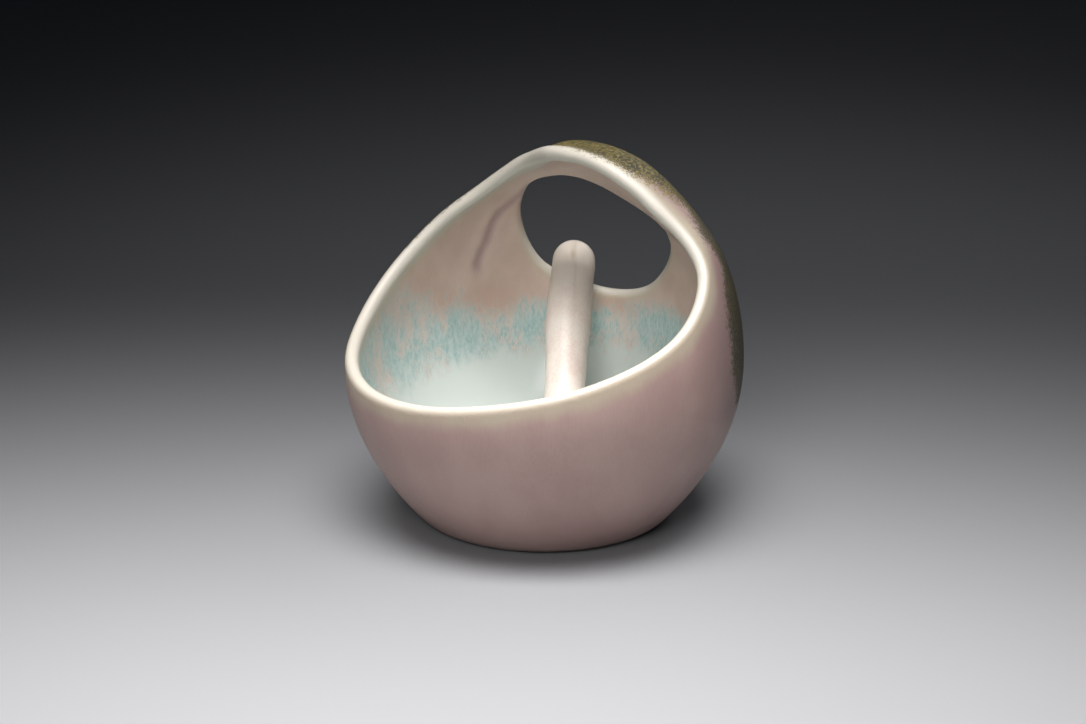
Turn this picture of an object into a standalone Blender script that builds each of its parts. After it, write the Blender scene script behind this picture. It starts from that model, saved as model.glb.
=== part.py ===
"""A handled porcelain bowl with a loose porcelain rod leaning in it.

The bowl is one turned, egg-shaped shell. A wide mouth is cut from its front and a smaller
window from its back, and the wall left between them arches over the top as the handle. The
rod stands on the floor of the bowl and leans back on the window's sill.

Metres, +Z up. The origin is the middle of the foot, on the table. The mouth faces -Y.
"""

import math

import bmesh
import bpy
from mathutils import Matrix, Vector

# The turned shell: radii and heights of its outer skin.
FOOT_RADIUS = 0.0388
BELLY_RADIUS = 0.065
BELLY_HEIGHT = 0.0536
TOP_HEIGHT = 0.1280
FOOT_CHAMFER = 0.0015
LOWER_FULLNESS = 0.952
UPPER_POWER = 2.07
UPPER_FULLNESS = 0.508
WALL = 0.005
FLOOR = 0.006
TURNED_STEPS = 56
LOWER_RINGS = 13
UPPER_RINGS = 20

# The floor of the bowl is a shallow dish, this wide where it is this deep.
DISH_RADIUS = 0.052
DISH_DEPTH = 0.008
DISH_BLEND = 0.006
DISH_RING_SPACING = 1.7

# The left shoulder of the handle is flattened: the plane slopes down towards -X.
SHOULDER_POINT = Vector((0.006, 0.016, 0.1238))
SHOULDER_NORMAL = Vector((-0.50, 0.0, 0.87)).normalized()
SHOULDER_BLEND = 0.003
SHOULDER_FACING = 0.05

# Both openings are seen from this point: degrees round from -Y towards +X, and degrees up.
CENTRE = Vector((0.0, 0.0, 0.054))
MOUTH = (
    (-96, 6), (-68, -1), (-40, -1), (-12, 3), (10, 7.5), (32, 14), (48, 21), (62, 31), (70, 43),
    (73, 57), (80, 69), (112, 77), (173, 75), (-161, 66), (-151, 50), (-143, 39), (-131, 27), (-114, 14),
)
WINDOW = (
    (133, 21), (131, 31), (145, 42.5), (166, 51), (-177, 49), (-171, 36), (-175, 22), (177, 10),
    (160, 5), (145, 9),
)
OUTLINE_STEPS = 4
CUTTER_REACH = 0.14
CUTTER_CROWN = 0.21

# Along its right-hand edge the handle rolls inwards to the mouth, this deep over this reach.
ROLL_DEPTH = 0.0032
ROLL_REACH = 0.009
ROLL_HEIGHT = (0.37, 0.82)
ROLL_SIDE = (-0.14, 0.16)

# The rod: the middles of its two round ends, its bend sideways, and its radius along the way.
ROD_TOP = Vector((0.0100, 0.0576, 0.0708))
ROD_FOOT = Vector((0.0080, -0.0040, 0.0156))
ROD_BEND = 0.0012
ROD_RADII = (
    (0.0, 0.0073), (0.2, 0.0072), (0.46, 0.0065), (0.62, 0.0070), (0.82, 0.0083), (1.0, 0.0090),
)
ROD_SIDES = 20
ROD_RINGS = 18
ROD_CAP_RINGS = 4

SHARP_ANGLE = math.radians(35)
WELD = 0.00002
ROSE = (0.62, 0.50, 0.46)
ROSE_ROUGHNESS = 0.42
IVORY = (0.80, 0.74, 0.69)
IVORY_ROUGHNESS = 0.38


def clear_scene():
    for obj in list(bpy.data.objects):
        bpy.data.objects.remove(obj, do_unlink=True)


def soft_min(a, b, blend):
    """The smaller of two lengths, with the corner between them rounded over."""
    share = min(max(0.5 + 0.5 * (b - a) / blend, 0.0), 1.0)
    return b * (1.0 - share) + a * share - blend * share * (1.0 - share)


def outer_radius(height):
    """The radius of the outer skin at a height: a full lower bowl under an egg-shaped top."""
    if height < BELLY_HEIGHT:
        below = 1.0 - height / BELLY_HEIGHT
        return FOOT_RADIUS + (BELLY_RADIUS - FOOT_RADIUS) * (1.0 - below**2) ** LOWER_FULLNESS
    above = min((height - BELLY_HEIGHT) / (TOP_HEIGHT - BELLY_HEIGHT), 1.0)
    return BELLY_RADIUS * (1.0 - above**UPPER_POWER) ** UPPER_FULLNESS


def outer_profile():
    """(radius, height) from the middle of the foot up to the top."""
    points = [(0.0, 0.0), (outer_radius(0.0) - FOOT_CHAMFER, 0.0)]
    for ring in range(LOWER_RINGS):
        share = ring / LOWER_RINGS
        height = FOOT_CHAMFER + (BELLY_HEIGHT - FOOT_CHAMFER) * share
        points.append((outer_radius(height), height))
    for ring in range(UPPER_RINGS):
        turn = math.pi / 2 * ring / UPPER_RINGS
        height = BELLY_HEIGHT + (TOP_HEIGHT - BELLY_HEIGHT) * math.sin(turn)
        points.append((outer_radius(height), height))
    return points + [(0.0, TOP_HEIGHT)]


def inner_profile():
    """The cavity: a wall's thickness inside the outer skin, over a dished floor."""
    points = [(0.0, FLOOR)]
    for ring in range(1, LOWER_RINGS + 1):
        height = FLOOR + (BELLY_HEIGHT - FLOOR) * (ring / (LOWER_RINGS + 1)) ** DISH_RING_SPACING
        dish = DISH_RADIUS * math.sqrt((height - FLOOR) / DISH_DEPTH)
        points.append((soft_min(outer_radius(height) - WALL, dish, DISH_BLEND), height))
    for ring in range(UPPER_RINGS):
        turn = math.pi / 2 * ring / UPPER_RINGS
        shrink = (BELLY_RADIUS - WALL) / BELLY_RADIUS
        height = BELLY_HEIGHT + (TOP_HEIGHT - WALL - BELLY_HEIGHT) * math.sin(turn)
        outer_height = BELLY_HEIGHT + (TOP_HEIGHT - BELLY_HEIGHT) * math.sin(turn)
        points.append((outer_radius(outer_height) * shrink, height))
    return points + [(0.0, TOP_HEIGHT - WALL)]


def flatten_shoulder(point, depth):
    """A point of a skin, lowered to the shoulder's plane where it stands above it."""
    out = point - CENTRE
    slope = out.normalized().dot(SHOULDER_NORMAL)
    if slope < SHOULDER_FACING:
        return point
    to_plane = ((SHOULDER_POINT - CENTRE).dot(SHOULDER_NORMAL) - depth) / slope
    if to_plane > out.length + SHOULDER_BLEND:
        return point
    return CENTRE + out.normalized() * soft_min(to_plane, out.length, SHOULDER_BLEND)


def ramp(value, limits):
    """A smooth step from 0 to 1 between two limits."""
    share = min(max((value - limits[0]) / (limits[1] - limits[0]), 0.0), 1.0)
    return share * share * (3.0 - 2.0 * share)


def roll_edge(point, mouth_rays):
    """A point of a skin, pressed inwards near the mouth's upper right edge."""
    out = point - CENTRE
    ray = out.normalized()
    from_edge = min((ray - edge).length for edge in mouth_rays) * out.length
    press = ROLL_DEPTH * math.exp(-((from_edge / ROLL_REACH) ** 2))
    press *= ramp(ray.z, ROLL_HEIGHT) * ramp(ray.x, ROLL_SIDE)
    return point - ray * press


def turned_skin(name, profile, depth):
    """A profile spun round the bowl's axis into a closed skin, then shaped round the handle."""
    bm = bmesh.new()
    verts = [bm.verts.new((radius, 0.0, height)) for radius, height in profile]
    edges = [bm.edges.new(pair) for pair in zip(verts, verts[1:])]
    bmesh.ops.spin(
        bm, geom=verts + edges, cent=(0, 0, 0), axis=(0, 0, 1), angle=2 * math.pi, steps=TURNED_STEPS
    )
    bmesh.ops.remove_doubles(bm, verts=bm.verts, dist=WELD)
    mouth_rays = opening_rays(MOUTH)
    for vert in bm.verts:
        if vert.co.z > BELLY_HEIGHT:
            vert.co = roll_edge(flatten_shoulder(vert.co, depth), mouth_rays)
    return finish_mesh(name, bm)


def finish_mesh(name, bm):
    """A mesh object, with its faces pointing out and shaded smooth."""
    bmesh.ops.recalc_face_normals(bm, faces=bm.faces)
    mesh = bpy.data.meshes.new(name)
    bm.to_mesh(mesh)
    bm.free()
    mesh.shade_smooth()
    mesh.set_sharp_from_angle(angle=SHARP_ANGLE)
    obj = bpy.data.objects.new(name, mesh)
    bpy.context.scene.collection.objects.link(obj)
    return obj


def direction(azimuth, elevation):
    """The unit vector at an azimuth from -Y towards +X and an elevation, in degrees."""
    turn, rise = math.radians(azimuth), math.radians(elevation)
    level = math.cos(rise)
    return Vector((level * math.sin(turn), -level * math.cos(turn), math.sin(rise)))


def smooth_loop(corners, steps):
    """A closed Catmull-Rom curve through the corners."""
    points = []
    for i, here in enumerate(corners):
        before = corners[i - 1]
        after = corners[(i + 1) % len(corners)]
        later = corners[(i + 2) % len(corners)]
        for step in range(steps):
            t = step / steps
            bend = 2 * before - 5 * here + 4 * after - later
            twist = 3 * here - before - 3 * after + later
            points.append(here + 0.5 * ((after - before) * t + bend * t**2 + twist * t**3))
    return points


def opening_rays(outline):
    """Unit vectors from the bowl's centre along an opening's outline."""
    corners = [direction(*corner) for corner in outline]
    return [ray.normalized() for ray in smooth_loop(corners, OUTLINE_STEPS)]


def cone_cutter(name, outline):
    """A solid that spreads from the bowl's centre through an outline, past the wall."""
    rays = opening_rays(outline)
    middle = sum(rays, Vector()).normalized()
    bm = bmesh.new()
    apex = bm.verts.new(CENTRE)
    crown = bm.verts.new(CENTRE + middle * CUTTER_CROWN)
    ring = [bm.verts.new(CENTRE + ray * CUTTER_REACH) for ray in rays]
    for here, after in zip(ring, ring[1:] + ring[:1]):
        bm.faces.new((apex, here, after))
        bm.faces.new((crown, after, here))
    return finish_mesh(name, bm)


def cut(target, cutter):
    """Cuts one object out of another, and keeps the cutter as a hidden wire guide."""
    cutter.hide_render = True
    cutter.display_type = "WIRE"
    modifier = target.modifiers.new(f"cut {cutter.name}", "BOOLEAN")
    modifier.operation = "DIFFERENCE"
    modifier.solver = "EXACT"
    modifier.object = cutter


def make_bowl():
    """The shell: outer skin less the cavity, the front mouth and the rear window."""
    bowl = turned_skin("bowl", outer_profile(), 0.0)
    cut(bowl, turned_skin("cavity", inner_profile(), WALL))
    cut(bowl, cone_cutter("mouth_outline", MOUTH))
    cut(bowl, cone_cutter("window_outline", WINDOW))
    return bowl


def rod_radius(share):
    """The rod's radius at a share of the way down from its tip's middle to its foot's."""
    for (start, r_start), (end, r_end) in zip(ROD_RADII, ROD_RADII[1:]):
        if share <= end:
            ease = (share - start) / (end - start)
            ease = ease * ease * (3.0 - 2.0 * ease)
            return r_start + (r_end - r_start) * ease
    return ROD_RADII[-1][1]


def rod_sections():
    """(distance from the tip's middle, radius) of each ring, with a round cap at each end."""
    length = (ROD_FOOT - ROD_TOP).length
    sections = []
    for cap in range(1, ROD_CAP_RINGS + 1):
        turn = math.pi / 2 * cap / (ROD_CAP_RINGS + 1)
        sections.append((-rod_radius(0) * math.cos(turn), rod_radius(0) * math.sin(turn)))
    for ring in range(ROD_RINGS + 1):
        sections.append((length * ring / ROD_RINGS, rod_radius(ring / ROD_RINGS)))
    for cap in range(ROD_CAP_RINGS, 0, -1):
        turn = math.pi / 2 * cap / (ROD_CAP_RINGS + 1)
        sections.append((length + rod_radius(1) * math.cos(turn), rod_radius(1) * math.sin(turn)))
    return sections


def make_rod():
    """The rod, lofted along its own axis as local Z from its tip's middle, then leaned into place."""
    length = (ROD_FOOT - ROD_TOP).length
    bm = bmesh.new()
    rings = []
    for distance, radius in rod_sections():
        bend = ROD_BEND * math.sin(math.pi * min(max(distance / length, 0.0), 1.0))
        rings.append([
            bm.verts.new((radius * math.cos(angle) + bend, radius * math.sin(angle), distance))
            for angle in side_angles()
        ])
    for upper, lower in zip(rings, rings[1:]):
        for i in range(ROD_SIDES):
            j = (i + 1) % ROD_SIDES
            bm.faces.new((upper[i], upper[j], lower[j], lower[i]))
    close_end(bm, rings[0], -rod_radius(0))
    close_end(bm, rings[-1], length + rod_radius(1))
    rod = finish_mesh("rod", bm)
    down = (ROD_FOOT - ROD_TOP).normalized()
    across = Vector((0, 0, 1)).cross(down).normalized()
    rod.matrix_world = Matrix.Translation(ROD_TOP) @ Matrix(
        (across, down.cross(across), down)
    ).transposed().to_4x4()
    return rod


def side_angles():
    return [2 * math.pi * side / ROD_SIDES for side in range(ROD_SIDES)]


def close_end(bm, ring, distance):
    """Fans a rod's end ring to a point on its axis."""
    pole = bm.verts.new((0.0, 0.0, distance))
    for i, vert in enumerate(ring):
        bm.faces.new((vert, ring[(i + 1) % len(ring)], pole))


def glaze(name, colour, roughness):
    """A fired glaze: a plain colour under a smooth, non-metallic surface."""
    material = bpy.data.materials.new(name)
    material.use_nodes = True
    shader = material.node_tree.nodes["Principled BSDF"]
    shader.inputs["Base Color"].default_value = (*colour, 1.0)
    shader.inputs["Roughness"].default_value = roughness
    shader.inputs["Metallic"].default_value = 0.0
    return material


def main():
    clear_scene()
    make_bowl().data.materials.append(glaze("rose satin glaze", ROSE, ROSE_ROUGHNESS))
    make_rod().data.materials.append(glaze("ivory satin glaze", IVORY, IVORY_ROUGHNESS))


main()
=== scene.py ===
"""Looks for the handled porcelain bowl and its loose rod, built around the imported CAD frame.

Two pieces replace the two CAD nodes. The bowl is one thin shell, taken from a distance field so
that its wall, dished floor and rounded lips run into each other. The rod is lofted along its
lean. Each has a layered glaze, led by guides stored on its points.
"""

import math

import bmesh
import bpy
import numpy as np
import openvdb
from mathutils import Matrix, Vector


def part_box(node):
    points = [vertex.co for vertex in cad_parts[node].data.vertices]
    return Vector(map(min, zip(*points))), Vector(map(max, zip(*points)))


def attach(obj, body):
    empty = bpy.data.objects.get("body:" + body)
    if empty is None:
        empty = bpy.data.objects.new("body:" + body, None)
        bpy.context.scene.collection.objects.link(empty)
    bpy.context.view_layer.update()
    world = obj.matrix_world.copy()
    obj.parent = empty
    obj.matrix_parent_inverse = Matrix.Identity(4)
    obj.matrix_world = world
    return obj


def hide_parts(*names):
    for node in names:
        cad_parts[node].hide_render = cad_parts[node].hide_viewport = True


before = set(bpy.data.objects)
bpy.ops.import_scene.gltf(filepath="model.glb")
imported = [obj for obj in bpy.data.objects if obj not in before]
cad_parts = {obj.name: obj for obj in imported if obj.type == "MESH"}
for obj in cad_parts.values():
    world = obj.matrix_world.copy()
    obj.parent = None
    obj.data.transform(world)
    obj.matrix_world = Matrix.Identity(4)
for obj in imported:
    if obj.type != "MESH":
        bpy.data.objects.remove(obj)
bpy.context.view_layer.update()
BOWL_LOW, BOWL_HIGH = (np.array(corner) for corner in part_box("bowl"))
ROD_LOW, ROD_HIGH = (np.array(corner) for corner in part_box("rod"))

# ---------------------------------------------------------------- sizes (metres)

# The bowl's box sets its size: the belly is half as wide as the box, the rest are shares of it.
BELLY = (BOWL_HIGH[0] - BOWL_LOW[0]) / 2
BELLY_HEIGHT = 0.8246 * BELLY
TOP_HEIGHT = 1.968 * BELLY
FOOT = 0.597 * BELLY
WALL = 0.0769 * BELLY
FLOOR = 0.0923 * BELLY
FOOT_EDGE = 0.003
LOWER_FULLNESS = 0.952
CROWN_ACROSS = 1.97
CROWN_UP = 2.07
DISH_DEPTH = 0.008
DISH_RADIUS = 0.8 * BELLY
DISH_BLEND = 0.012

# Two soft flats on the handle: its left shoulder slopes down towards -X, its right one towards +X.
FLATS = (
    ((0.0004, 0.0206, 0.1237), (-0.50, 0.27, 0.82), 0.005),
    ((0.0502, 0.0, 0.1032), (0.76, 0.19, 0.62), 0.004),
)

# Openings, seen from the middle of the bowl: degrees round from -Y towards +X, and degrees up.
CENTRE = np.array([0.0, 0.0, 0.054])
MOUTH = (
    (-96, 4), (-68, -1), (-40, -1), (-12, 3), (10, 7.5), (32, 14), (48, 21), (62, 31), (70, 43),
    (73, 57), (80.5, 70), (114, 79), (177, 77), (-166, 63), (-153, 48), (-143.3, 38.5),
    (-131.3, 26.6), (-114, 13.2),
)
WINDOW = (
    (134, 21), (131.7, 31), (146, 40.8), (167, 49.7), (-177, 48.2), (-171.6, 36), (-175, 22),
    (177, 12.2), (160, 6.5), (145, 9.2),
)
LIP_HALF = 0.0023
LIP_TAPER = 0.012

# Along its right-hand edge the handle rolls inwards to the mouth, this deep over this reach. The
# roll comes in over these ranges of a direction's rise and of its lean towards +X.
ROLL_DEPTH = 0.0050
ROLL_REACH = 0.010
ROLL_RISE = (0.50, 0.85)
ROLL_LEAN = (-0.15, 0.13)

# Two folds in the inner skin run away from the window, as directions from the bowl's middle.
# Every fold lies within the search distance of its own middle, and fades out over its last part.
FOLDS = (
    ((-174, 46), (-170.5, 42), (-166.7, 38), (-163.6, 35), (-161.7, 32), (-160.5, 28),
     (-159.8, 24), (-158, 20), (-157, 16.5), (-157.5, 13), (-158, 8)),
    ((131, 31.5), (124, 31), (120, 30), (117, 27.5)),
)
FOLD_DEPTH = 0.0006
FOLD_REACH = 0.0015
FOLD_SEARCH = 0.05
FOLD_FADE = (0.8, 1.0)

VOXEL = 0.0009
NEWTON_STEPS = 3
SLOPE_STEP = 0.00005


# ---------------------------------------------------------------- shape of the bowl


def ramp(value, low, high):
    """A smooth step from 0 at low to 1 at high."""
    share = np.clip((value - low) / (high - low), 0.0, 1.0)
    return share * share * (3.0 - 2.0 * share)


def soft_max(a, b, blend):
    """The larger of two distances, with the corner between them rounded over."""
    share = np.clip(0.5 + 0.5 * (a - b) / blend, 0.0, 1.0)
    return b + (a - b) * share + blend * share * (1.0 - share)


def direction(azimuth, elevation):
    """Unit vectors at azimuths from -Y towards +X and elevations, in degrees."""
    turn, rise = np.radians(azimuth), np.radians(elevation)
    level = np.cos(rise)
    return np.stack([level * np.sin(turn), -level * np.cos(turn), np.sin(rise)], axis=-1)


def smooth_loop(corners, steps):
    """A closed Catmull-Rom curve through the corners."""
    before, after, later = (np.roll(corners, shift, axis=0)[:, None] for shift in (1, -1, -2))
    here = corners[:, None]
    t = np.linspace(0.0, 1.0, steps, endpoint=False)[None, :, None]
    bend = 2 * before - 5 * here + 4 * after - later
    twist = 3 * here - before - 3 * after + later
    return (here + 0.5 * ((after - before) * t + bend * t**2 + twist * t**3)).reshape(-1, 3)


class Opening:
    """A hole in the shell, as the angle of its edge all round an axis from the bowl's middle."""

    def __init__(self, outline):
        rays = smooth_loop(direction(*np.array(outline, float).T), 40)
        rays /= np.linalg.norm(rays, axis=1)[:, None]
        self.axis = rays.mean(axis=0)
        self.axis /= np.linalg.norm(self.axis)
        self.side = np.cross(self.axis, (0.0, 0.0, 1.0))
        self.side /= np.linalg.norm(self.side)
        self.up = np.cross(self.side, self.axis)
        bearing, spread = self.polar(rays)
        order = np.argsort(bearing)
        self.bearing = bearing[order]
        self.spread = spread[order]
        step = 0.02
        ahead = np.interp(self.bearing + step, self.bearing, self.spread, period=2 * math.pi)
        behind = np.interp(self.bearing - step, self.bearing, self.spread, period=2 * math.pi)
        self.slope = (ahead - behind) / (2 * step * np.sin(self.spread))

    def polar(self, rays):
        """The bearing round the axis and the angle away from it, in radians."""
        spread = np.arccos(np.clip(rays @ self.axis, -1.0, 1.0))
        return np.arctan2(rays @ self.up, rays @ self.side), spread

    def depth(self, rays, reach):
        """How far inside the hole's edge points lie, in metres, negative in the wall."""
        bearing, spread = self.polar(rays)
        edge = np.interp(bearing, self.bearing, self.spread, period=2 * math.pi)
        slope = np.interp(bearing, self.bearing, self.slope, period=2 * math.pi)
        return (edge - spread) * reach / np.sqrt(1.0 + slope**2)


MOUTH_HOLE = Opening(MOUTH)
WINDOW_HOLE = Opening(WINDOW)


def turned_distance(points):
    """Distance outside the uncut outer skin: a full lower bowl under an egg-shaped top."""
    radius = np.hypot(points[:, 0], points[:, 1])
    height = points[:, 2]
    rise = np.clip(height / BELLY_HEIGHT, 0.002, 1.0)
    below = 1.0 - (1.0 - rise) ** 2
    spread = BELLY - FOOT
    wall_radius = FOOT + spread * below**LOWER_FULLNESS
    flare = spread * LOWER_FULLNESS * below ** (LOWER_FULLNESS - 1)
    flare *= 2 * (1.0 - rise) / BELLY_HEIGHT
    lower = (radius - wall_radius) / np.sqrt(1.0 + flare**2)
    crown = TOP_HEIGHT - BELLY_HEIGHT
    across = np.maximum(radius / BELLY, 1e-4)
    above = np.maximum((height - BELLY_HEIGHT) / crown, 1e-4)
    egg = across**CROWN_ACROSS + above**CROWN_UP
    steep_across = CROWN_ACROSS * across ** (CROWN_ACROSS - 1) / BELLY
    steep_up = CROWN_UP * above ** (CROWN_UP - 1) / crown
    upper = 2.0 * (egg - np.sqrt(egg)) / np.maximum(np.hypot(steep_across, steep_up), 1.0)
    return np.where(height < BELLY_HEIGHT, lower, upper)


def skin_distance(points):
    """Distance outside the outer skin once the handle's two flats are pressed into it."""
    skin = turned_distance(points)
    high = points[:, 2] > BELLY_HEIGHT
    for place, normal, blend in FLATS:
        normal = np.array(normal) / np.linalg.norm(normal)
        flat = (points - np.array(place)) @ normal
        skin = np.where(high, soft_max(skin, flat, blend), skin)
    return skin


def fold_distance(points, fold):
    """Distance from a fold's line on the inner skin, and how far along it, from 0 to 1."""
    corners = CENTRE + direction(*np.array(fold, float).T) * (BELLY - WALL)
    gaps = np.full(len(points), 1.0)
    along = np.zeros(len(points))
    close = np.linalg.norm(points - corners.mean(axis=0), axis=1) < FOLD_SEARCH
    rays = points[close] - CENTRE
    inner = CENTRE + rays * (BELLY - WALL) / np.linalg.norm(rays, axis=1)[:, None]
    for i, (start, end) in enumerate(zip(corners, corners[1:])):
        run = end - start
        t = np.clip((inner - start) @ run / (run @ run), 0.0, 1.0)
        gap = np.linalg.norm(inner - start - t[:, None] * run, axis=1)
        nearer = gap < gaps[close]
        gaps[close] = np.where(nearer, gap, gaps[close])
        along[close] = np.where(nearer, (i + t) / (len(corners) - 1), along[close])
    return gaps, along


def fold_strength(points):
    """1 in the middle of a fold, 0 away from it, fading towards each fold's lower end."""
    strength = np.zeros(len(points))
    for fold in FOLDS:
        gap, along = fold_distance(points, fold)
        reach = FOLD_REACH * (0.9 + 0.4 * along)
        crease = np.exp(-((gap / reach) ** 2)) * (1.0 - ramp(along, *FOLD_FADE))
        strength = np.maximum(strength, crease)
    return strength


def bowl_fields(points):
    """The bowl's distance field and what its glaze needs to know about each point."""
    out = points - CENTRE
    reach = np.maximum(np.linalg.norm(out, axis=1), 1e-6)
    rays = out / reach[:, None]
    mouth = MOUTH_HOLE.depth(rays, reach)
    window = WINDOW_HOLE.depth(rays, reach)
    press = ROLL_DEPTH * np.exp(-((mouth / ROLL_REACH) ** 2))
    press *= ramp(rays[:, 2], *ROLL_RISE) * ramp(rays[:, 0], *ROLL_LEAN)
    skin = skin_distance(points + rays * press[:, None])
    fold = fold_strength(points)
    dish = FLOOR + DISH_DEPTH * (np.hypot(points[:, 0], points[:, 1]) / DISH_RADIUS) ** 2
    cavity = soft_max(skin + WALL - FOLD_DEPTH * fold, dish - points[:, 2], DISH_BLEND)
    outside = soft_max(skin, -points[:, 2], FOOT_EDGE)
    middle = (outside + cavity) / 2
    half = (cavity - outside) / 2
    opening = np.maximum(mouth, window)
    thinning = (half - LIP_HALF) * ramp(opening, -LIP_TAPER, -LIP_HALF)
    shell = np.maximum(outside, -cavity) + thinning
    lip = np.hypot(middle, opening + LIP_HALF) - LIP_HALF
    return {
        "field": np.where(opening > -LIP_HALF, lip, shell),
        "mouth": mouth,
        "window": window,
        "across": middle / np.maximum(half, 0.001),
        "fold": fold,
    }


def settle_on_surface(points):
    """Moves points onto the field's zero surface, with a few Newton steps."""
    step = SLOPE_STEP
    for _ in range(NEWTON_STEPS):
        value = bowl_fields(points)["field"]
        sides = [
            bowl_fields(points + step * axis)["field"] - bowl_fields(points - step * axis)["field"]
            for axis in np.eye(3)
        ]
        slope = np.stack(sides, axis=1) / (2 * step)
        push = value / np.maximum((slope**2).sum(axis=1), 0.25)
        points = points - slope * np.clip(push, -VOXEL, VOXEL)[:, None]
    return points


def field_surface():
    """Points and quads of the bowl's surface, read from a grid round the bowl's box."""
    margin = 3 * VOXEL
    low = BOWL_LOW - margin
    axes = [np.arange(a, b, VOXEL) for a, b in zip(low, BOWL_HIGH + margin)]
    shape = tuple(len(axis) for axis in axes)
    values = np.empty(shape, np.float32)
    across, up = np.meshgrid(axes[1], axes[2], indexing="ij")
    for i, x in enumerate(axes[0]):
        slab = np.stack([np.full(across.size, x), across.ravel(), up.ravel()], axis=1)
        values[i] = bowl_fields(slab)["field"].reshape(shape[1:])
    grid = openvdb.FloatGrid()
    grid.copyFromArray(np.clip(values / VOXEL, -4.0, 4.0))
    points, quads = grid.convertToQuads(isovalue=0.0)
    return settle_on_surface(low + points.astype(float) * VOXEL), quads


# ---------------------------------------------------------------- guides for the bowl's glaze


# The blue band on the inner wall: (degrees round from -Y towards +X, height in millimetres) along
# its lower and upper edges.
BAND_LOW = ((0, 36), (60, 40), (146, 41), (185, 38.5), (210, 37), (241, 32), (270, 31), (360, 36))
BAND_HIGH = (
    (0, 60), (60, 60), (120, 58), (180, 56), (205, 57), (221, 63), (252, 68), (300, 64), (360, 60),
)

# The olive glaze starts behind the handle's lip: its edge on top, as (x, y), and how much further
# forward it comes lower down the right-hand side, as (z, y), which counts in over a range of x.
# Its lower edge is a height with waves added, each a size, how often it comes round the back and a
# shift, in radians. All lengths are in millimetres.
OLIVE_TOP = ((-65, 34), (-20, 44), (-6, 32), (4, 15.5), (15, 5), (27, -3), (47, -5))
OLIVE_SIDE = (
    (30, 12), (44, -14), (57, -21), (72, -20), (80, -17), (88, -8.5), (98, -6), (104, 0),
)
OLIVE_SIDE_FROM = (20.0, 45.0)
OLIVE_FOOT = 34.0
OLIVE_WAVES = ((5.0, 2.3, 0.6), (3.0, 6.0, 0.0), (1.5, 15.0, 0.0))
OLIVE_FROM_LIP = 1.4

# A darker reddish patch between the left-hand fold and the window, partly the glaze's own reddish
# tone and partly painted shade beside the fold, as a direction and a reach.
REDDISH_SHADE_AT = (-170, 37)
REDDISH_SHADE_REACH = 0.0045


def band_share(points):
    """0 at the lower edge of the blue band on the inner wall, 1 at its upper edge."""
    azimuth = np.degrees(np.arctan2(points[:, 0], -points[:, 1]))
    turn = np.where(azimuth < 0, azimuth + 360, azimuth)
    low = np.interp(turn, *zip(*BAND_LOW))
    high = np.interp(turn, *zip(*BAND_HIGH))
    return (1000 * points[:, 2] - low) / (high - low)


def olive_depth(points, mouth):
    """Millimetres inside the olive glaze, which covers the back and the handle behind its lip."""
    x, y, z = 1000 * points.T
    forward = np.interp(z, *zip(*OLIVE_SIDE)) * ramp(x, *OLIVE_SIDE_FROM)
    edge = np.interp(x, *zip(*OLIVE_TOP)) + forward
    turn = np.arctan2(points[:, 0], points[:, 1])
    waves = (size * np.sin(often * turn + shift) for size, often, shift in OLIVE_WAVES)
    foot = OLIVE_FOOT + sum(waves)
    return np.minimum(np.minimum(y - edge, -1000 * mouth - OLIVE_FROM_LIP), z - foot)


def reddish_shade_share(points):
    """1 in the middle of the reddish patch, 0 away from it."""
    middle = CENTRE + direction(*REDDISH_SHADE_AT) * (BELLY - WALL)
    return np.exp(-((np.linalg.norm(points - middle, axis=1) / REDDISH_SHADE_REACH) ** 2))


def store(mesh, name, values):
    """Keeps one value for each point, for the glaze to read."""
    mesh.attributes.new(name, "FLOAT", "POINT").data.foreach_set("value", values.astype(np.float32))


def make_bowl():
    """One continuous shell, with its glaze's guides as point attributes."""
    points, quads = field_surface()
    mesh = bpy.data.meshes.new("bowl_shell")
    mesh.from_pydata(points.tolist(), [], quads.tolist())
    mesh.shade_smooth()
    fields = bowl_fields(points)
    store(mesh, "mouth", -1000 * fields["mouth"])
    store(mesh, "window", -1000 * fields["window"])
    store(mesh, "across", fields["across"])
    store(mesh, "fold", fields["fold"])
    store(mesh, "reddish_shade", reddish_shade_share(points))
    store(mesh, "band", band_share(points))
    store(mesh, "olive", olive_depth(points, fields["mouth"]))
    return link_object("bowl_shell", mesh)


def link_object(name, mesh):
    obj = bpy.data.objects.new(name, mesh)
    bpy.context.scene.collection.objects.link(obj)
    return obj


# ---------------------------------------------------------------- the rod

# (share of the way down from its tip's middle to its foot's, radius), and how far its middle bows.
ROD_RADII = (
    (0.0, 0.0073), (0.3, 0.0076), (0.47, 0.0070), (0.62, 0.0073), (0.82, 0.0084), (1.0, 0.0090),
)
ROD_BEND = -0.0015
ROD_SIDES = 64
ROD_RINGS = 120
CAP_RINGS = 16

# A dent and a small shoulder on its right: (distance down, reach, share of the radius).
ROD_DENT = (0.052, 0.008, 0.15)
ROD_SHOULDER = (0.003, 0.003, 0.035)

# Marks by the tip: a painted shade, for the handle's shadow and partly a greyer glaze, that fades
# down the rod, a painted shade line along the edge of the tip's facet and a small touch mark.
PAINTED_SHADE_REACH = 0.040
SHADE_LINE_ASIDE = 0.0008
SHADE_LINE_REACH = 0.0005
MARK_DOWN = 0.0015
MARK_LONG = 0.0025
MARK_WIDE = 0.0008


def rod_radius(share):
    """The rod's radius at a share of the way down from its tip's middle to its foot's."""
    for (start, r_start), (end, r_end) in zip(ROD_RADII, ROD_RADII[1:]):
        if share <= end:
            return r_start + (r_end - r_start) * ramp(share, start, end)
    return ROD_RADII[-1][1]


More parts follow.
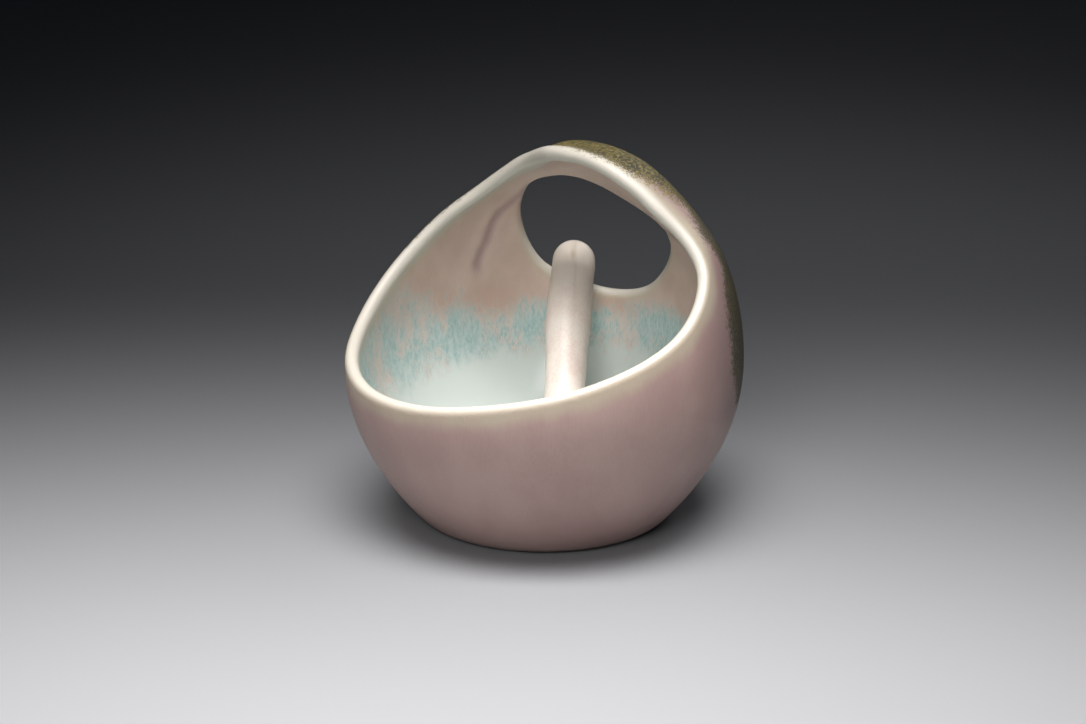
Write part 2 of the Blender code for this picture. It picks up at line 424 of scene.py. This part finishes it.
def rod_sections(length):
    """(distance from the tip's middle, radius) of each ring, with a round cap at each end."""
    tip, foot = rod_radius(0.0), rod_radius(1.0)
    turns = [math.pi / 2 * cap / (CAP_RINGS + 1) for cap in range(1, CAP_RINGS + 1)]
    top = [(-tip * math.cos(turn), tip * math.sin(turn)) for turn in turns]
    shares = [ring / ROD_RINGS for ring in range(ROD_RINGS + 1)]
    shaft = [(length * share, rod_radius(share)) for share in shares]
    bottom = [(length + foot * math.cos(turn), foot * math.sin(turn)) for turn in reversed(turns)]
    return top + shaft + bottom


def swell(distance, place, reach, share):
    """A smooth swelling round one place along the rod, as a share of its radius."""
    return share * math.exp(-(((distance - place) / reach) ** 2))


def hand_rolled(distance, angle):
    """The radius of a hand-rolled rod over that of a true circle."""
    slow = 0.010 * math.sin(2 * angle + 60 * distance)
    facet = 0.008 * math.sin(3 * angle - 95 * distance + 1.0)
    right = max(math.cos(angle), 0.0) ** 2
    uneven = swell(distance, *ROD_SHOULDER) - swell(distance, *ROD_DENT)
    return 1.0 + slow + facet + right * uneven


def rod_mesh(tip, foot, down, across, forward):
    """The rod's skin: rings of points down its bowed middle, closed by a pole at each end."""
    length = (foot - tip).length
    bm = bmesh.new()
    rings = []
    for distance, radius in rod_sections(length):
        bend = ROD_BEND * math.sin(math.pi * min(max(distance / length, 0.0), 1.0))
        middle = tip + down * distance + across * bend
        ring = []
        for side in range(ROD_SIDES):
            angle = 2 * math.pi * side / ROD_SIDES
            out = across * math.cos(angle) + forward * math.sin(angle)
            ring.append(bm.verts.new(middle + out * radius * hand_rolled(distance, angle)))
        rings.append(ring)
    for upper, lower in zip(rings, rings[1:]):
        for i in range(ROD_SIDES):
            j = (i + 1) % ROD_SIDES
            bm.faces.new((upper[i], upper[j], lower[j], lower[i]))
    poles = (tip - down * rod_radius(0.0), foot + down * rod_radius(1.0))
    for ring, pole in zip((rings[0], rings[-1]), poles):
        end = bm.verts.new(pole)
        for i, vert in enumerate(ring):
            bm.faces.new((vert, ring[(i + 1) % ROD_SIDES], end))
    bmesh.ops.recalc_face_normals(bm, faces=bm.faces)
    mesh = bpy.data.meshes.new("leaning_rod")
    bm.to_mesh(mesh)
    bm.free()
    mesh.shade_smooth()
    return mesh


def make_rod():
    """A rod lofted down its lean, between the middles of the round ends that its box gives."""
    tip_radius, foot_radius = rod_radius(0.0), rod_radius(1.0)
    tip = Vector(ROD_HIGH) - Vector((tip_radius, tip_radius, tip_radius))
    foot = Vector(ROD_LOW) + Vector((foot_radius, foot_radius, foot_radius))
    down = (foot - tip).normalized()
    across = Vector((0, 0, 1)).cross(down).normalized()
    forward = down.cross(across)
    mesh = rod_mesh(tip, foot, down, across, forward)
    mark_place = tip + down * MARK_DOWN + forward * tip_radius
    points = np.array([vert.co for vert in mesh.vertices])
    out = points - np.array(mark_place)
    along = out @ np.array(down)
    aside = out @ np.array(across)
    # Painted shade: the handle's shadow on the tip, partly a greyer glaze, fading down the rod.
    shade = 1.0 - ramp((points - np.array(tip)) @ np.array(down), 0.0, PAINTED_SHADE_REACH)
    store(mesh, "shade", shade)
    store(mesh, "mark", np.exp(-((along / MARK_LONG) ** 2) - (aside / MARK_WIDE) ** 2))
    # Painted shade line where the tip's facet turns from light into shade, fading with the painted
    # shade.
    store(mesh, "shade_line", np.exp(-(((aside - SHADE_LINE_ASIDE) / SHADE_LINE_REACH) ** 2)) * shade)
    return link_object("leaning_rod", mesh)


# ---------------------------------------------------------------- glazes


def colour(red, green, blue):
    """A linear colour from 0 to 255 sRGB values."""
    shares = (red / 255, green / 255, blue / 255)
    return (*(c / 12.92 if c <= 0.04 else ((c + 0.055) / 1.055) ** 2.4 for c in shares), 1.0)


class Glaze:
    """A node material, with short calls for the few kinds of node that these glazes use."""

    def __init__(self, name):
        self.material = bpy.data.materials.new(name)
        self.material.use_nodes = True
        self.nodes = self.material.node_tree.nodes
        self.links = self.material.node_tree.links
        self.shader = self.nodes["Principled BSDF"]
        self.place = self.nodes.new("ShaderNodeTexCoord").outputs["Object"]

    def feed(self, socket, value):
        """Links a node's output to a socket, or sets the socket to a plain value."""
        if isinstance(value, bpy.types.NodeSocket):
            self.links.new(value, socket)
        else:
            socket.default_value = value

    def guide(self, name):
        """A value stored on the mesh's points."""
        node = self.nodes.new("ShaderNodeAttribute")
        node.attribute_name = name
        return node.outputs["Fac"]

    def coordinate(self, axis):
        """Where a point lies along the object's X, Y or Z, in metres."""
        node = self.nodes.new("ShaderNodeSeparateXYZ")
        self.links.new(self.place, node.inputs[0])
        return node.outputs[axis]

    def noise(self, scale, detail=3.0, stretch=1.0, roughness=0.5):
        """3-D noise from about 0.3 to 0.7, with features 1/scale wide and stretch times as tall."""
        squash = self.nodes.new("ShaderNodeMapping")
        self.links.new(self.place, squash.inputs["Vector"])
        squash.inputs["Scale"].default_value = (1.0, 1.0, 1.0 / stretch)
        node = self.nodes.new("ShaderNodeTexNoise")
        self.links.new(squash.outputs["Vector"], node.inputs["Vector"])
        node.inputs["Scale"].default_value = scale
        node.inputs["Detail"].default_value = detail
        node.inputs["Roughness"].default_value = roughness
        return node.outputs["Fac"]

    def calc(self, operation, a, b):
        """One step of arithmetic on two numbers or outputs."""
        node = self.nodes.new("ShaderNodeMath")
        node.operation = operation
        self.feed(node.inputs[0], a)
        self.feed(node.inputs[1], b)
        return node.outputs[0]

    def step(self, value, low, high):
        """A smooth step from 0 at low to 1 at high; low may be the larger of the two."""
        node = self.nodes.new("ShaderNodeMapRange")
        node.interpolation_type = "SMOOTHSTEP"
        self.feed(node.inputs["Value"], value)
        node.inputs["From Min"].default_value = min(low, high)
        node.inputs["From Max"].default_value = max(low, high)
        node.inputs["To Min"].default_value = 0.0 if low < high else 1.0
        node.inputs["To Max"].default_value = 1.0 if low < high else 0.0
        return node.outputs["Result"]

    def mix(self, share, a, b):
        """Colour a where share is 0 and b where it is 1."""
        node = self.nodes.new("ShaderNodeMix")
        node.data_type = "RGBA"
        self.feed(node.inputs[0], share)
        self.feed(node.inputs[6], a)
        self.feed(node.inputs[7], b)
        return node.outputs[2]

    def blend(self, share, a, b):
        """Number a where share is 0 and b where it is 1."""
        node = self.nodes.new("ShaderNodeMix")
        self.feed(node.inputs[0], share)
        self.feed(node.inputs[2], a)
        self.feed(node.inputs[3], b)
        return node.outputs[0]

    def both(self, *shares):
        """The product of shares: how far all of them hold at once."""
        product = shares[0]
        for share in shares[1:]:
            product = self.calc("MULTIPLY", product, share)
        return product

    def jitter(self, value, noise, amount):
        """A value moved up and down by a noise."""
        sway = self.calc("SUBTRACT", noise, 0.5)
        return self.calc("ADD", value, self.calc("MULTIPLY", sway, amount))

    def bump(self, height, distance):
        """Raises the surface by a height of 0 to 1 times a distance in metres."""
        node = self.nodes.new("ShaderNodeBump")
        node.inputs["Distance"].default_value = distance
        self.feed(node.inputs["Height"], height)
        self.feed(self.shader.inputs["Normal"], node.outputs["Normal"])


IVORY = colour(195, 190, 179)
LIME = colour(188, 186, 158)
ROSE = colour(169, 144, 137)
ROSE_DEEP = colour(162, 135, 130)
DUSK = colour(122, 103, 103)
INNER_ROSE = colour(203, 180, 168)
INNER_BROWN = colour(190, 165, 152)
BLUSH = colour(206, 190, 181)
TURQUOISE = colour(146, 174, 174)
PALE_BLUE = colour(184, 200, 197)
RUST = colour(194, 161, 143)
CELADON = colour(198, 206, 202)
# Purple along the folds, partly painted crease shade.
FOLD_PURPLE_AND_SHADE = colour(140, 112, 114)
# Reddish patch colour, partly painted shade.
REDDISH_SHADE = colour(158, 118, 100)
OLIVE = colour(100, 90, 50)
OLIVE_DARK = colour(34, 33, 24)
OLIVE_GOLD = colour(150, 132, 72)
# Painted reflection of the overhead light on the olive's top.
OLIVE_PAINTED_REFLECTION = colour(142, 134, 122)
BARE_CLAY = colour(226, 216, 200)
ROD_CREAM = colour(232, 223, 213)
ROD_ROSE = colour(226, 206, 198)
# Painted shade on the rod's tip, for the handle's shadow.
ROD_PAINTED_SHADE = colour(208, 199, 187)
ROD_TAN = colour(150, 126, 98)


def rose_skin(glaze, cloud, streaks):
    """The outer skin: mottled rose, duskier towards the olive."""
    body = glaze.mix(glaze.step(glaze.jitter(cloud, streaks, 0.5), 0.3, 0.7), ROSE, ROSE_DEEP)
    dusky = glaze.step(glaze.guide("olive"), -24.0, -3.0)
    return glaze.mix(glaze.both(dusky, 0.6), body, DUSK)


def blue_runs(glaze, cloud, runs, hatch, drips):
    """Turquoise and pale blue runs, blushing in patches, a little more so on the left."""
    blue = glaze.mix(glaze.step(glaze.jitter(runs, hatch, 0.8), 0.16, 0.78), TURQUOISE, PALE_BLUE)
    left = glaze.step(glaze.coordinate("X"), -0.015, -0.045)
    patches = glaze.jitter(glaze.jitter(drips, cloud, 1.4), hatch, 0.9)
    patches = glaze.calc("ADD", patches, glaze.both(left, 0.10))
    return glaze.mix(glaze.both(glaze.step(patches, 0.50, 0.76), 0.75), blue, BLUSH)


def inner_wall(glaze, cloud):
    """The inside, from rose down through the blue runs to the pool, and where the pool is."""
    band = glaze.guide("band")
    runs = glaze.noise(700, 5.0, 2.4, 0.68)
    hatch = glaze.noise(2200, 2.0, 4.5, 0.6)
    drips = glaze.noise(330, 5.0, 3.0, 0.6)
    wavy = glaze.jitter(glaze.jitter(glaze.jitter(band, runs, 0.8), cloud, 0.8), hatch, 0.5)
    upper = glaze.mix(glaze.step(cloud, 0.35, 0.65), INNER_ROSE, INNER_BROWN)
    above_band = glaze.both(glaze.step(wavy, 0.85, 1.05), glaze.step(wavy, 1.45, 1.10))
    rusty = glaze.both(above_band, glaze.step(cloud, 0.40, 0.62), 0.35)
    upper = glaze.mix(rusty, upper, RUST)
    blue = blue_runs(glaze, cloud, runs, hatch, drips)
    wall = glaze.mix(glaze.step(wavy, 0.60, 1.20), blue, upper)
    pool = glaze.step(glaze.jitter(glaze.jitter(band, drips, 1.2), hatch, 0.5), 0.18, -0.06)
    body = glaze.mix(pool, wall, CELADON)
    # Darker reddish patch by the left fold: partly the glaze's own tone, partly painted shade.
    body = glaze.mix(glaze.both(glaze.guide("reddish_shade"), 0.55), body, REDDISH_SHADE)
    # Along the folds: partly the glaze's own purple-brown, partly painted shade in the creases.
    return glaze.mix(glaze.both(glaze.guide("fold"), 0.65), body, FOLD_PURPLE_AND_SHADE), pool


def pale_lips(glaze, cloud, body):
    """Adds a greenish halo round both openings, then ivory where the glaze breaks over them,
    widened on the handle's top partly as a painted highlight along its crest.
    """
    height = glaze.coordinate("Z")
    mouth, window = glaze.guide("mouth"), glaze.guide("window")
    sill = glaze.step(height, 0.090, 0.076)
    rim = glaze.both(glaze.step(glaze.jitter(window, cloud, 3.0), 5.0, 1.0), sill)
    halo = glaze.step(glaze.jitter(mouth, cloud, 5.0), 8.5, 3.0)
    body = glaze.mix(glaze.both(glaze.calc("MAXIMUM", halo, rim), 0.45), body, LIME)
    # On the handle's top the ivory comes 2 mm further: partly the ivory roll, partly a painted
    # highlight along the crest.
    crest_highlight_widening = glaze.both(glaze.step(height, 0.095, 0.112), 2.0)
    from_lip = glaze.calc("SUBTRACT", mouth, crest_highlight_widening)
    from_lip = glaze.calc("ADD", from_lip, glaze.calc("MULTIPLY", glaze.guide("across"), 1.5))
    crest = glaze.step(from_lip, 4.0, 0.5)
    rim_crest = glaze.both(glaze.step(window, 2.6, 0.2), glaze.calc("MAXIMUM", sill, 0.35))
    return glaze.mix(glaze.calc("MAXIMUM", crest, rim_crest), body, IVORY)


def olive_back(glaze, cloud):
    """Gold-flecked olive, darker down the back, partly by painted shade, with a painted grey
    reflection along its top edge, and where it lies.
    """
    height, depth = glaze.coordinate("Z"), glaze.guide("olive")
    grain = glaze.noise(900, 6.0, 1.3, 0.8)
    flecks = glaze.noise(2100, 3.0, 1.6, 0.8)
    ragged = glaze.jitter(glaze.jitter(depth, grain, 24.0), flecks, 12.0)
    share = glaze.both(glaze.step(ragged, -0.7, 1.6), glaze.step(glaze.guide("across"), 0.0, 0.6))
    off_window = glaze.step(glaze.jitter(glaze.guide("window"), grain, 6.0), 1.0, 4.0)
    share = glaze.both(share, off_window)
    speckle = glaze.step(glaze.jitter(grain, cloud, 0.3), 0.44, 0.54)
    body = glaze.mix(speckle, OLIVE_DARK, OLIVE)
    body = glaze.mix(glaze.step(grain, 0.54, 0.66), body, OLIVE_GOLD)
    # Darker lower down near the olive's edge: partly the glaze's own darker olive, partly painted
    # shade where the side turns from the light.
    darker_and_shaded = glaze.both(glaze.step(height, 0.112, 0.096), glaze.step(depth, 46.0, 14.0), 0.75)
    body = glaze.mix(darker_and_shaded, body, OLIVE_DARK)
    # Painted reflection of the overhead light: grey flecks near the olive's edge on the handle's
    # top.
    painted_reflection = glaze.both(glaze.step(flecks, 0.52, 0.60), glaze.step(depth, 16.0, 2.0), 0.6)
    painted_reflection = glaze.both(painted_reflection, glaze.step(height, 0.108, 0.095))
    return glaze.mix(painted_reflection, body, OLIVE_PAINTED_REFLECTION), share


def bowl_glaze():
    """Rose outside, blue runs above a celadon pool inside, ivory lips and an olive back."""
    glaze = Glaze("bowl_glaze")
    inside = glaze.step(glaze.guide("across"), 0.15, -0.75)
    streaks = glaze.noise(2400, 3.0, 10.0, 0.6)
    fine = glaze.noise(3200, 2.0, 2.0)
    cloud = glaze.noise(60, 3.0, 1.5)
    inner, pool = inner_wall(glaze, cloud)
    body = glaze.mix(inside, rose_skin(glaze, cloud, streaks), inner)
    body = pale_lips(glaze, cloud, body)
    olive, olive_share = olive_back(glaze, cloud)
    body = glaze.mix(olive_share, body, olive)
    wiped_foot = glaze.step(glaze.coordinate("Z"), 0.0011, 0.0003)
    body = glaze.mix(wiped_foot, body, BARE_CLAY)
    glaze.feed(glaze.shader.inputs["Base Color"], body)
    pooled = glaze.both(pool, inside)
    sheen = glaze.blend(pooled, glaze.blend(fine, 0.34, 0.50), 0.16)
    glaze.feed(glaze.shader.inputs["Roughness"], glaze.blend(olive_share, sheen, 0.55))
    relief = glaze.calc("ADD", fine, glaze.calc("MULTIPLY", streaks, 0.8))
    glaze.bump(glaze.blend(pooled, relief, 0.5), 0.00006)
    return glaze.material


def rod_glaze():
    """Cream glaze, a little rosy, with faint streaks, a painted shade on the tip, a painted shade
    line and a touch mark.
    """
    glaze = Glaze("rod_glaze")
    cloud = glaze.noise(120, 3.0, 2.0)
    streaks = glaze.noise(1500, 3.0, 6.0, 0.6)
    fine = glaze.noise(2600, 2.0)
    body = glaze.mix(glaze.step(glaze.jitter(streaks, cloud, 0.8), 0.3, 0.75), ROD_CREAM, ROD_ROSE)
    # Painted shade on the tip: the handle's shadow, partly a greyer glaze.
    painted_tip_shade = glaze.jitter(glaze.guide("shade"), cloud, 0.6)
    body = glaze.mix(glaze.both(painted_tip_shade, 0.8), body, ROD_PAINTED_SHADE)
    # Painted shade line along the edge of the tip's facet.
    body = glaze.mix(glaze.both(glaze.guide("shade_line"), 0.22), body, ROD_TAN)
    marked = glaze.jitter(glaze.guide("mark"), cloud, 0.8)
    body = glaze.mix(glaze.both(marked, 0.6), body, ROD_TAN)
    glaze.feed(glaze.shader.inputs["Base Color"], body)
    glaze.feed(glaze.shader.inputs["Roughness"], glaze.blend(fine, 0.30, 0.46))
    glaze.bump(glaze.calc("ADD", fine, streaks), 0.00005)
    return glaze.material


bowl = make_bowl()
bowl.data.materials.append(bowl_glaze())
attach(bowl, "bowl")
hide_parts("bowl")

rod = make_rod()
rod.data.materials.append(rod_glaze())
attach(rod, "rod")
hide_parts("rod")

# ---------------------------------------------------------------- camera and studio

ELEVATION = math.radians(17.0)
DISTANCE = 0.90
TARGET = Vector((-0.0003, 0.0, 0.0521))
FOCAL = 91.5

# The floor runs from the front to where it bends up, in a quarter circle, into the far wall.
FLOOR_FRONT = -3.0
FLOOR_BENDS_AT = 1.6
BEND_RADIUS = 0.6
BEND_STEPS = 12
WALL_TOP = 3.0
FLOOR_HALF_WIDTH = 4.0
FLOOR_PAINT = (0.21, 0.214, 0.225, 1.0)

WORLD_TINT = (0.75, 0.84, 1.0, 1.0)
WORLD_STRENGTH = 0.025

# Each lamp: where it hangs, what it is aimed at, its size, watts, tint, and spread in degrees.
LAMPS = {
    "overhead": (
        (-0.03, -0.22, 0.60), (-0.03, -0.22, 0.0), (0.56, 0.36), 2.6, (1.0, 0.98, 0.96), 62,
    ),
    "back_fill": (
        (0.55, 0.95, 0.75), (0.0, 0.0, 0.05), (0.7, 0.5), 0.15, (0.95, 0.97, 1.0), 45,
    ),
    "front_fill": (
        (-0.20, -0.85, 0.60), (0.0, 0.0, 0.06), (0.6, 0.5), 0.43, (1.0, 0.98, 0.97), 36,
    ),
}


def add_camera():
    """A long lens at the height of someone looking a little down on the bowl."""
    camera = bpy.data.objects.new("camera", bpy.data.cameras.new("camera"))
    camera.data.sensor_width = 36.0
    camera.data.lens = FOCAL
    camera.data.clip_start = 0.01
    forward = Vector((0.0, math.cos(ELEVATION), -math.sin(ELEVATION)))
    camera.location = TARGET - forward * DISTANCE
    camera.rotation_euler = forward.to_track_quat("-Z", "Y").to_euler()
    bpy.context.scene.collection.objects.link(camera)
    bpy.context.scene.camera = camera


def add_light(name, place, aim, size, power, tint, spread):
    """A rectangular lamp, aimed at a place."""
    light = bpy.data.lights.new(name, "AREA")
    light.shape = "RECTANGLE"
    light.size, light.size_y = size
    light.energy = power
    light.color = tint
    light.spread = math.radians(spread)
    obj = bpy.data.objects.new(name, light)
    obj.location = place
    obj.rotation_euler = (Vector(aim) - Vector(place)).to_track_quat("-Z", "Y").to_euler()
    bpy.context.scene.collection.objects.link(obj)


def add_floor():
    """A wide, plain floor that bends up into a far wall."""
    bm = bmesh.new()
    profile = [(FLOOR_FRONT, 0.0), (FLOOR_BENDS_AT, 0.0)]
    for turn in range(1, BEND_STEPS + 1):
        angle = math.radians(90 * turn / BEND_STEPS)
        out = BEND_RADIUS * math.sin(angle)
        up = BEND_RADIUS - BEND_RADIUS * math.cos(angle)
        profile.append((FLOOR_BENDS_AT + out, up))
    profile.append((FLOOR_BENDS_AT + BEND_RADIUS, WALL_TOP))
    sides = (-FLOOR_HALF_WIDTH, FLOOR_HALF_WIDTH)
    rows = [[bm.verts.new((x, y, z)) for y, z in profile] for x in sides]
    for i in range(len(profile) - 1):
        bm.faces.new((rows[0][i], rows[1][i], rows[1][i + 1], rows[0][i + 1]))
    mesh = bpy.data.meshes.new("floor")
    bm.to_mesh(mesh)
    bm.free()
    mesh.shade_smooth()
    floor = link_object("floor", mesh)
    paint = bpy.data.materials.new("floor_paint")
    paint.use_nodes = True
    shader = paint.node_tree.nodes["Principled BSDF"]
    shader.inputs["Base Color"].default_value = FLOOR_PAINT
    shader.inputs["Roughness"].default_value = 0.75
    mesh.materials.append(paint)


def add_world():
    """Dim, slightly blue surroundings."""
    world = bpy.data.worlds.new("studio")
    world.use_nodes = True
    backdrop = world.node_tree.nodes["Background"]
    backdrop.inputs["Color"].default_value = WORLD_TINT
    backdrop.inputs["Strength"].default_value = WORLD_STRENGTH
    bpy.context.scene.world = world


add_camera()
add_floor()
add_world()
for lamp_name, lamp in LAMPS.items():
    add_light(lamp_name, *lamp)
bpy.context.scene.view_settings.view_transform = "Standard"
